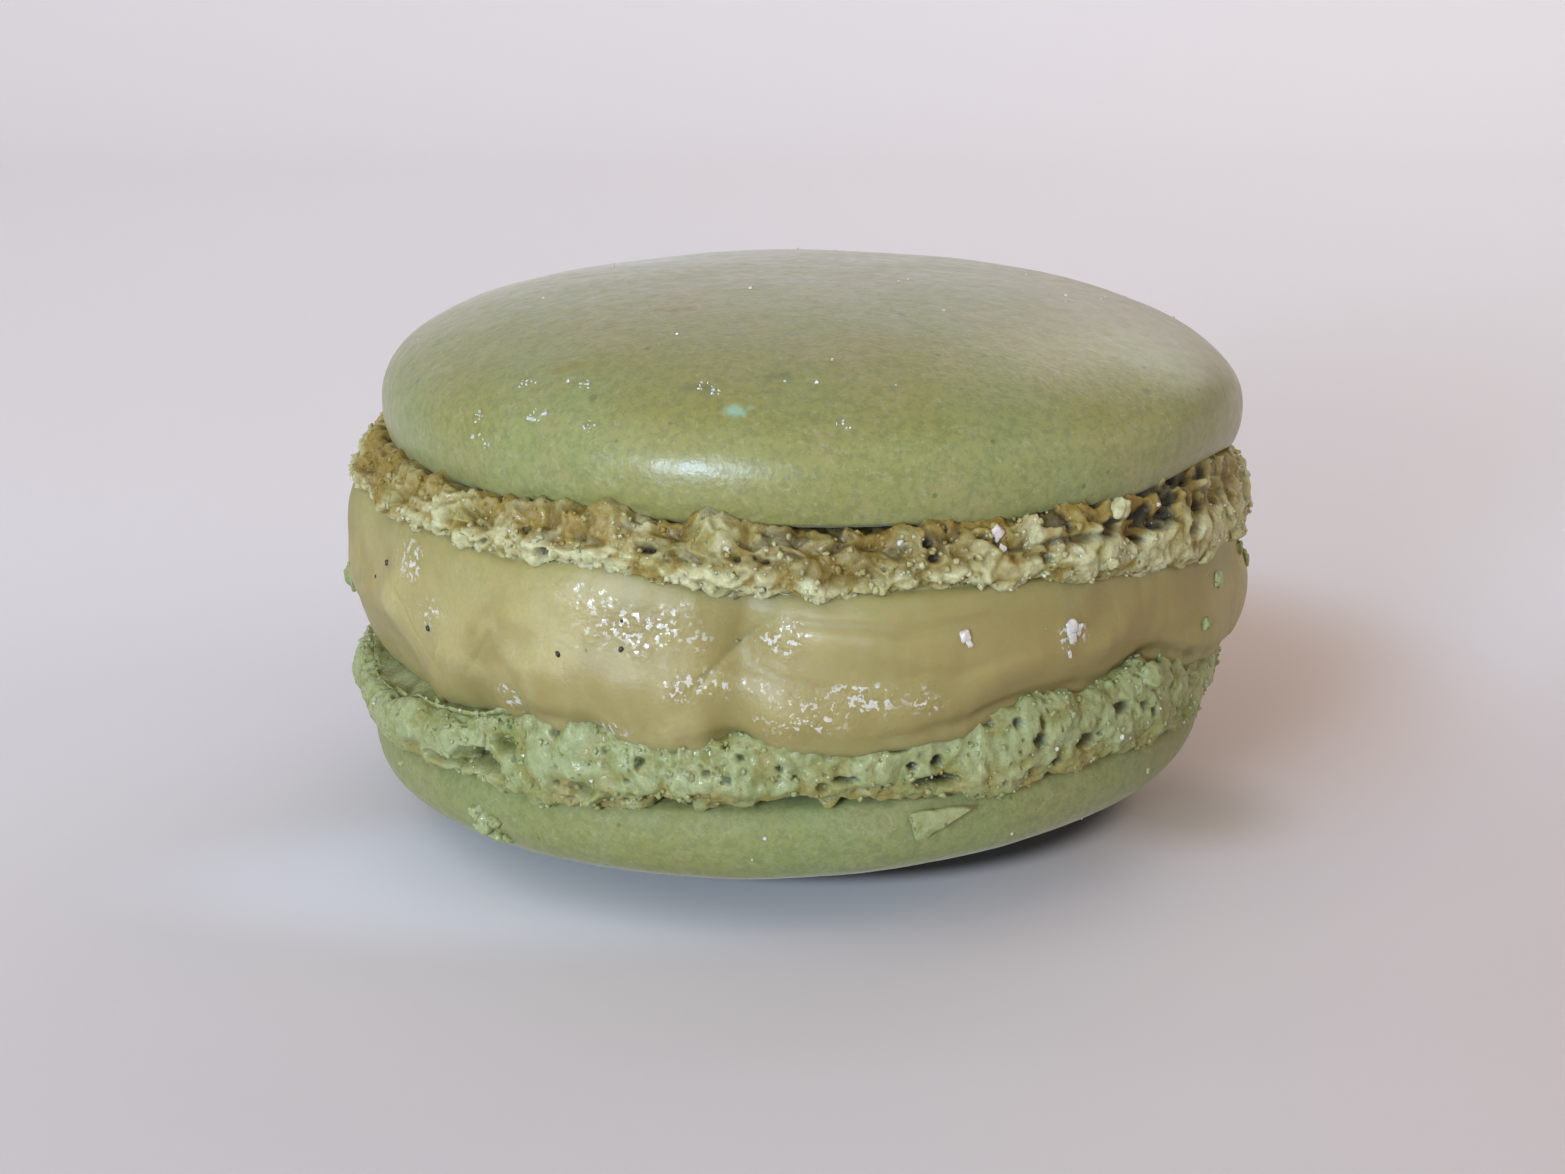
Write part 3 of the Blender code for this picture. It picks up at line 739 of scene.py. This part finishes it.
def makeFilling(look):
    # a disc between the two leaning soles; its rim bulges by broad lobes, slanting folds exp(-d^2),
    # thin creases and wet relief, and draws back under itself where the lower shell's ledge is bare
    rim = look["radius"]
    side = [(rim + out, share) for out, share in look["profile"]]
    path = smoothPath([(0, 1), *side, (0, 0)], [1, 2, 8, 11, 11, 11, 10, 7, 3, 1])
    points, _, angle = turnedGrid(path, 1480)
    radius = reachOf(points)
    outward = points * (1, 1, 0) / np.maximum(radius, 1e-6)[..., None]
    share = points[..., 2]

    def soleLevel(shell, overlap):
        # the height of a shell's leaning sole over each point
        return shell["middle"][2] + overlap \
            - math.tan(math.radians(shell["lean"])) * (points[..., 0] - shell["middle"][0])

    lower, upper = soleLevel(bottomShell, -look["overlap"]), soleLevel(topShell, look["overlap"])
    upper += 0.9 * np.maximum(liftAt(angle, topShell["soleLift"]), 0)
    placed = points.copy()
    placed[..., 2] = lower + (upper - lower) * share
    level = placed[..., 2]
    onRim = ease(rim - 3, rim - 0.8, radius)
    around = placed * (1, 1, 0)
    bulge = 0.25 * ripple(angle + 9 * share, 37, (4, 7, 11, 17))
    bulge += liftAt(angle, look["lobes"])
    bulge -= liftAt(angle, look["undercut"]) * (1 - ease(0.05, 0.55, share))
    bend = smoothNoise(placed, 2.5, 540)

    def acrossAndUp(middle, height):
        # how far round the rim and up each point lies from a named place
        return np.radians(turnFrom(angle, middle)) * rim, level - height

    for middle, height, halfWidth, halfHeight, swell, slant in look["folds"]:
        across, up = acrossAndUp(middle, height)
        away = np.hypot(across / halfWidth, (up - slant * across) / halfHeight) + 0.25 * bend
        bulge += swell * np.exp(-np.maximum(away, 0) ** 2)
    for middle, height, halfLength, width, depth, slant in look["creases"]:
        across, up = acrossAndUp(middle, height)
        off = (up - slant * across + 0.35 * bend) / width
        bulge -= depth * np.exp(-off ** 2 - (across / halfLength) ** 4)
    footTop = lower + look["overlap"] + liftAt(angle, bottomShell["soleLift"])
    seam = np.exp(-((level - footTop - 0.2) / 0.32) ** 2) * liftAt(angle, look["seams"])
    bulge -= 0.28 * seam
    stretched = placed * (1, 1, 0.22)
    relief = 0.1 * layeredNoise(placed, 3, 501, 2) + 0.03 * smoothNoise(stretched, 0.8, 520)
    wet = ease(0.25, 0.8, smoothNoise(placed, 3.2, 510)) * 0.35
    for middle, height, halfWidth, halfHeight in look["wet"]:
        across, up = acrossAndUp(middle, height)
        away = np.hypot(across / halfWidth, up / halfHeight) + 0.5 * smoothNoise(placed, 1.2, 530)
        wet = np.maximum(wet, np.exp(-0.9 * np.maximum(away, 0) ** 2))
    relief += wet * 0.03 * smoothNoise(placed, 0.5, 503)
    shaped = placed + outward * ((bulge + relief) * onRim)[..., None]
    hem = 0.7 * smoothNoise(around, 3.4, 550) + 0.4 * smoothNoise(around, 1.4, 551)
    shaped[..., 2] -= look["sag"] * (0.2 + hem) * onRim * (1 - ease(0.05, 0.45, share))
    # painted shade: darker in the hollows between the bulges and round the rim, mostly on the right
    hollow = (1 - ease(-0.5, 0.6, bulge + 3 * relief)) * 0.7 + liftAt(angle, look["paintedShade"])
    patchy = 0.12 * smoothNoise(placed, 1.6, 560) + 0.06 * smoothNoise(placed, 0.6, 561)
    # crumb dust in bands by the two feet, also a painted shade there, plus real crumb tint in the dusted
    # places
    dustAndShade = 0.9 * ease(0.7, 0.96, share + patchy) + 0.7 * (1 - ease(0.05, 0.18, share + patchy))
    dustAndShade += liftAt(angle, look["dusted"]) * ease(-0.3, 0.3, smoothNoise(placed, 1.8, 562))
    # painted shade along the seam groove and in dark crevices
    crevice = ease(-0.15, 0.15, smoothNoise(placed, 1.5, 563)) * np.minimum(1.5 * seam, 1)
    shade = 0.35 * seam + 0.65 * crevice * liftAt(angle, look["crevices"])
    marks = {"hollow": np.clip(hollow, 0, 0.9), "shade": np.clip(shade, 0, 0.95) * onRim, "wet": wet,
             "dustAndShade": np.clip(dustAndShade, 0, 1) * onRim}
    surfaces["cream"] = shaped[6:-8]
    closedMesh("creamFilling", shaped, marks, cream, "filling")


makeFilling(creamShape)
print("cream done")


rimRadius = 23


def nearestOn(surface, angle, level):
    # the point of a surface nearest to an angle and a level
    grid = surfaces[surface].reshape(-1, 3)
    across = np.radians(turnFrom(rimAngle(grid, (0, 0)), angle)) * rimRadius
    return grid[np.argmin(np.hypot(across, grid[:, 2] - level))]


def nearestUnder(surface, angle, reach):
    # the point of a surface straight under or over an angle and a distance from the middle
    grid = surfaces[surface].reshape(-1, 3)
    spot = (reach * math.cos(math.radians(angle)), reach * math.sin(math.radians(angle)))
    return grid[np.argmin(np.hypot(grid[:, 0] - spot[0], grid[:, 1] - spot[1]))]


def unitBall(detail):
    # the points of an even ball of radius 1 and the corners of its triangles
    bm = bmesh.new()
    bmesh.ops.create_icosphere(bm, subdivisions=detail, radius=1)
    ball = np.array([vert.co[:] for vert in bm.verts])
    corners = np.array([[vert.index for vert in face.verts] for face in bm.faces])
    bm.free()
    return ball, corners


def scatterLumps(name, spots, halfSizes, material, seed, detail, roughness, boxy=1):
    # one ball for each spot, pushed in and out by noise of its own, stretched to its half sizes (out,
    # round, up), tilted by chance and turned to face outward
    ball, corners = unitBall(detail)
    ball = np.sign(ball) * np.abs(ball) ** boxy
    spots, halfSizes = np.array(spots), np.array(halfSizes)
    dice = np.random.default_rng(seed)
    shift = dice.uniform(-50, 50, (len(spots), 1, 3))
    lumps = ball * (1 + roughness * layeredNoise(ball + shift, 1.1, seed, 2))[..., None]
    out, across, up = np.moveaxis(lumps * halfSizes[:, None, :], -1, 0)
    across, up = turned(across, up, dice.uniform(-0.7, 0.7, (len(spots), 1)))
    x, y = turned(out, across, np.arctan2(spots[:, 1], spots[:, 0])[:, None])
    verts = np.stack([x, y, up], axis=-1) + spots[:, None, :]
    faces = corners[None, :, :] + (np.arange(len(spots)) * len(ball))[:, None, None]
    mesh = smoothMesh(name, (verts.reshape(-1, 3) * mm).tolist(), faces.reshape(-1, 3).tolist())
    return placePiece(name, mesh, material)


# placed bits are (angle, level, half sizes out, round and up) on a surface; the rest are strewn by dice
vanillaLook = {
    "placed": [
        ("cream", [(210.2, 16, 0.13), (221.6, 13.85, 0.13), (243.3, 14.5, 0.12), (250.4, 14.85, 0.12)]),
    ],
    "strewn": 6, "seed": 61,
}
crumbPieces = {
    "placed": [
        ("topFoot", [(309.2, 20.3, (0.45, 0.52, 0.55)), (306.2, 18.1, (0.36, 0.38, 0.3)),
        (328, 16.6, (0.35, 0.5, 0.45)), (336, 17, (0.35, 0.5, 0.4))]),
        ("cream", [(334, 14.6, (0.25, 0.45, 0.4)), (329.5, 12.9, (0.25, 0.5, 0.35))]),
        ("bottomCap", [(228, 4.5, (0.6, 0.6, 0.5)), (229.6, 4, (0.5, 0.45, 0.38)),
        (230.6, 3.8, (0.35, 0.3, 0.25)), (226.8, 5, (0.45, 0.4, 0.4)), (226.6, 4.1, (0.45, 0.4, 0.3)),
        (229.4, 4.7, (0.35, 0.4, 0.3))]),
        ("cream", [(187, 12.9, (0.45, 0.6, 0.8)), (346, 15.2, (0.2, 0.5, 0.4)),
        (350, 14.2, (0.22, 0.5, 0.45))]),
        ("bottomFoot", [(230.5, 8.1, (0.3, 0.45, 0.3)), (318, 11.4, (0.5, 0.8, 0.6))]),
    ],
    "strewn": 48, "seed": 62,
}
sugarPieces = {
    "placed": [
        ("topFoot", [(292.6, 19.9, (0.22, 0.26, 0.34)), (292.8, 19.2, (0.18, 0.2, 0.22))]),
        ("cream", [(302.2, 15.2, (0.14, 0.34, 0.36)), (303, 14.9, (0.12, 0.28, 0.32)),
        (302, 14.6, (0.12, 0.24, 0.28)), (301.6, 13.9, (0.08, 0.1, 0.18)),
        (287.8, 15.6, (0.12, 0.22, 0.28)), (288.3, 15.3, (0.1, 0.14, 0.18))]),
        ("topFoot", [(262, 19.8, (0.1, 0.12, 0.1)), (281, 19.8, (0.1, 0.14, 0.12))]),
        ("topCap", [(235, 24.3, (0.05, 0.28, 0.1)), (236.8, 24.5, (0.05, 0.18, 0.08)),
        (226, 24.2, (0.04, 0.08, 0.06)), (243, 24.2, (0.04, 0.12, 0.07)),
        (226, 23, (0.05, 0.16, 0.08)), (227.3, 23.3, (0.04, 0.1, 0.07))]),
    ],
    "clusters": [(230.6, 25.5), (240.2, 25.8), (236, 24.5), (228.5, 22.9), (226, 23.9), (243.9, 24.3),
                 (274.6, 24.8), (256.7, 26), (258.4, 25.8)],
    "strewn": 150, "seed": 63,
}


def strewnSpots(counts, seed, sizes):
    # for each surface, a count of points at random angles and levels, with a random half size each
    dice = np.random.default_rng(seed)
    spots, halves = [], []
    for surface, count in counts.items():
        for _ in range(count):
            spots.append(nearestOn(surface, dice.uniform(0, 360), dice.uniform(*rimLevels[surface])))
            half = sizes[0] + (sizes[1] - sizes[0]) * dice.uniform() ** 2
            halves.append(half * dice.uniform(0.7, 1.3, 3))
    return spots, halves


def placedSpots(look):
    # the placed bits one by one: (surface, spot, half sizes)
    for surface, bits in look["placed"]:
        for angle, level, half in bits:
            yield surface, nearestOn(surface, angle, level), np.array(half)


rimLevels = {"cream": (12, 16.5), "topFoot": (17.6, 20.2), "bottomFoot": (7.6, 10.4), "bottomCap": (2, 6.5)}


def makeVanillaSpecks():
    spots, halves = strewnSpots({"cream": vanillaLook["strewn"]}, vanillaLook["seed"], (0.08, 0.14))
    for _, spot, half in placedSpots(vanillaLook):
        spots.append(spot)
        halves.append(half * (1, 1, 1.3))
    scatterLumps("vanillaSpecks", spots, halves, vanilla, 71, 2, 0.25)


def markPale(piece):
    # gives a loose bit the marks that the crumb material reads: half pale, nothing toasted, no painted shade
    for label, value in (("ridge", 0.5), ("toast", 0), ("deep", 0), ("pitShade", 0)):
        setMark(piece.data, label, np.full(len(piece.data.vertices), value))


def makeLooseCrumbs():
    count = crumbPieces["strewn"]
    spots, halves = strewnSpots({"bottomFoot": count // 2, "bottomCap": count // 4, "cream": count // 4},
                                crumbPieces["seed"], (0.06, 0.18))
    upper, upperHalves = [], []
    for surface, spot, half in placedSpots(crumbPieces):
        (upper if surface == "topFoot" else spots).append(spot)
        (upperHalves if surface == "topFoot" else halves).append(half)
    markPale(scatterLumps("looseCrumbs", spots, halves, mintCrumb, 72, 4, 0.6))
    markPale(scatterLumps("upperCrumbs", upper, upperHalves, toastedCrumb, 75, 4, 0.6))


def makeSugarGrains():
    count = sugarPieces["strewn"]
    spots, halves = strewnSpots({"topFoot": count // 3, "bottomFoot": count // 3, "bottomCap": count // 10},
                                sugarPieces["seed"], (0.04, 0.1))
    dice = np.random.default_rng(sugarPieces["seed"] + 1)
    for _ in range(count // 5):
        spots.append(nearestUnder("topCap", dice.uniform(0, 360), dice.uniform(6, 21.5)))
        halves.append(np.full(3, dice.uniform(0.04, 0.09)))
    for angle, level in sugarPieces["clusters"]:
        for _ in range(6):
            spots.append(nearestOn("topCap", angle + dice.normal(0, 0.7), level + dice.normal(0, 0.12)))
            halves.append(dice.uniform(0.02, 0.09, 3))
    for _, spot, half in placedSpots(sugarPieces):
        spots.append(spot)
        halves.append(half)
    scatterLumps("sugarGrains", spots, halves, sugar, 73, 3, 0.55, 0.6)


gritLook = {"count": 1150, "small": 0.07, "large": 0.17, "seed": 64}


def makeGrit():
    # small broken crumbs on the two feet: rough balls, half sunk, a little paler than the place they lie on
    dice = np.random.default_rng(gritLook["seed"])
    for label, material in (("topFoot", toastedCrumb), ("bottomFoot", mintCrumb)):
        grid = surfaces[label].reshape(-1, 3)
        picked = dice.integers(0, len(grid), gritLook["count"])
        picked = picked[footMarks[label]["calm"].reshape(-1)[picked] > 0.6]
        share = dice.uniform(size=len(picked)) ** 2.5
        size = gritLook["small"] + (gritLook["large"] - gritLook["small"]) * share
        halves = size[:, None] * dice.uniform(0.7, 1.3, (len(picked), 3))
        piece = scatterLumps(label + "Grit", grid[picked], halves, material, 74, 2, 0.7, 0.85)
        eachBall = len(piece.data.vertices) // len(picked)
        # each grain takes the foot's marks under it, painted shade included, made paler
        for mark, paler in (("ridge", 0.25), ("toast", -0.15), ("deep", -0.35), ("pitShade", -0.6)):
            under = footMarks[label][mark].reshape(-1)[picked] + paler
            under += dice.uniform(-0.25, 0.25, len(picked))
            setMark(piece.data, mark, np.repeat(np.clip(under, 0, 1), eachBall))


makeGrit()
flakeLook = {"angle": 284.6, "level": 7.35, "width": 1.15, "height": 0.95, "thickness": 0.2,
             "out": 0.3, "raised": 0.36}


def makeFlake():
    # a thin shard of skin: a ball pressed flat, its outline a rounded triangle of radius
    # 1 / (sum of cos(angle - side)^6)^(1/6), hanging point down against the lower cap
    ball, corners = unitBall(4)
    heading = np.arctan2(ball[:, 2], ball[:, 1])
    sides = np.clip(np.cos(heading[:, None] - np.radians((90, 188, 302))), 0, 1)
    outline = (sides ** 6).sum(axis=1) ** (-1 / 6) * (1 + 0.1 * smoothNoise(ball, 0.5, 90))
    spot = nearestOn("bottomCap", flakeLook["angle"], flakeLook["level"]) + (0, 0, flakeLook["raised"])
    thick = flakeLook["thickness"] * np.sign(ball[:, 0]) * np.abs(ball[:, 0]) ** 0.5
    thick = thick + 0.08 * smoothNoise(ball * (0, 1, 1), 0.6, 91) + flakeLook["out"]
    x, y = turned(thick, ball[:, 1] * outline * flakeLook["width"] * 0.6, np.radians(flakeLook["angle"]))
    up = ball[:, 2] * outline * flakeLook["height"] * 0.6 - 0.25 * thick
    verts = spot + np.stack([x, y, up], axis=-1)
    mesh = smoothMesh("looseFlake", (verts * mm).tolist(), corners.tolist())
    markPale(placePiece("looseFlake", mesh, mintCrumb))


makeFlake()
makeVanillaSpecks()
makeLooseCrumbs()
makeSugarGrains()
print("crumbs, sugar and vanilla done")

# tints are painted light and shade on the paper: (x, y, whole within, gone beyond, squeeze along y, colour),
# in millimetres
stageLook = {
    # near and far paint the paper darker towards the camera and lighter at the back, a painted light falloff
    "near": (0.575, 0.54, 0.54), "far": (0.74, 0.73, 0.76), "roughness": 0.75,
    "size": 1.2, "backAt": 0.35, "backHeight": 0.6,
    "tints": {
        # painted shade: the paper darker and warmer towards the front right, where the light falls off
        "paintedWarmShade": (75, -30, 0, 85, 1, (0.56, 0.49, 0.47)),
        # a painted warm shadow behind and to the right of the macaron
        "paintedWarmShadow": (12, 20, 19, 36, 1, (0.6, 0.5, 0.44)),
        # painted light: a lighter, cooler patch in front and left of the macaron that thins its shadow there
        "clear": (-10, -12.5, 12, 27, 2.4, (0.73, 0.74, 0.8)),
        # painted brown shade on the paper beside the dark gap at the right
        "brown": (20.5, -3, 1, 8, 1, (0.44, 0.38, 0.31)),
        # a painted contact shadow, near black, under the lower dome
        "paintedContactShadow": (1.5, 0, 15, 17.6, 1.25, (0.055, 0.05, 0.042)),
    },
}


def makeFloor():
    # a sheet that lies flat, then curves up behind: y and z follow a quarter circle, then z goes straight up
    bend, size = stageLook["backAt"], stageLook["size"]
    t = np.linspace(0, 0.5 * math.pi, 24)
    y = np.concatenate([[-size], bend + 0.25 * np.sin(t), [bend + 0.25]])
    z = np.concatenate([[0], 0.25 * (1 - np.cos(t)), [0.25 + stageLook["backHeight"]]])
    verts = [(side, a, b) for a, b in zip(y, z) for side in (-size, size)]
    faces = [(2 * i, 2 * i + 1, 2 * i + 3, 2 * i + 2) for i in range(len(y) - 1)]
    mesh = smoothMesh("paperSweep", verts, faces)
    paint = Paint("palePaper", Roughness=stageLook["roughness"])
    # painted light falloff: darker near the front, lighter towards the back
    back = paint.node("SeparateXYZ", paint.place).outputs["Y"]
    colour = paint.mix(paint.spread(back, -0.08, 0.06), stageLook["near"], stageLook["far"])
    # each tint lays one of the painted light and shade patches over the paper
    for x, y, inner, outer, flat, tint in stageLook["tints"].values():
        squeezed = paint.node("VectorMath", paint.place, (1, flat, 1), operation="MULTIPLY").outputs["Vector"]
        middle = (x * mm, y * flat * mm, 0)
        away = paint.node("VectorMath", squeezed, middle, operation="DISTANCE").outputs["Value"]
        colour = paint.mix(paint.spread(away, inner * mm, outer * mm, 1, 0), colour, tint)
    paint.give(Base_Color=colour)
    mesh.materials.append(paint.material)
    addObject("paperSweep", mesh)


# each light is (place, aim, size, power, colour), places and aims in metres from the object's middle
centre = (0, 0, 0)
boxMiddle = (Vector(cadLow) + Vector(cadHigh)) / 2
lightLook = {
    "window": ((-0.2, -0.377, 0.078), centre, (0.15, 0.11), 1.05, (0.93, 0.96, 0.86)),
    "windowCore": ((-0.195, -0.38, 0.083), centre, (0.08, 0.045), 1.2, (0.36, 0.57, 1)),
    "ceilingLight": ((-0.45, -0.35, 0.6), centre, (0.6, 0.6), 1.45, (0.97, 0.95, 0.95)),
    "frontCard": ((0.05, -0.55, 0.45), centre, (0.9, 0.6), 1.05, (1, 0.97, 0.95)),
    "warmWall": ((0.6, -0.2, 0.22), centre, (0.6, 0.5), 1, (1, 0.8, 0.66)),
    "backGlow": ((0.3, 0.4, 0.35), centre, (0.4, 0.3), 0.6, (1, 0.9, 0.86)),
    "backdropLight": ((-0.2, 0.22, 0.5), (-0.2, 0.75, 0.1), (0.9, 0.3), 0.95, (0.97, 0.98, 1)),
}


def addSoftLight(name, place, aim, size, power, colour):
    # a rectangular soft light that shines from its place towards its aim
    lamp = bpy.data.lights.new(name, "AREA")
    lamp.shape = "RECTANGLE"
    lamp.size, lamp.size_y = size
    lamp.energy, lamp.color = power, colour
    holder = addObject(name, lamp)
    holder.location = boxMiddle + Vector(place)
    holder.rotation_euler = (Vector(place) - Vector(aim)).to_track_quat("Z", "Y").to_euler()


makeFloor()
for name, look in lightLook.items():
    addSoftLight(name, *look)

roomLook = {"colour": (1, 0.9, 0.87), "strength": 0.3}
world = bpy.data.worlds.new("room")
world.use_nodes = True
air = world.node_tree.nodes["Background"].inputs
air["Color"].default_value = (*roomLook["colour"], 1)
air["Strength"].default_value = roomLook["strength"]
bpy.context.scene.world = world
bpy.context.scene.view_settings.view_transform = "Standard"

# the aim is counted from the middle of the object's box, in millimetres
cameraLook = {"lens": 51.9, "distance": 122, "height": 16, "aim": (-0.8, 0.15, -2.98)}
cameraData = bpy.data.cameras.new("camera")
cameraData.lens = cameraLook["lens"]
cameraData.sensor_width = 36
cameraData.clip_start = 0.005
camera = addObject("camera", cameraData)
rise = math.radians(cameraLook["height"])
back = Vector((0, -math.cos(rise), math.sin(rise)))
aim = boxMiddle + Vector(cameraLook["aim"]) * mm
camera.location = aim + back * cameraLook["distance"] * mm
camera.rotation_euler = back.to_track_quat("Z", "Y").to_euler()
bpy.context.scene.camera = camera

print("scene ready")
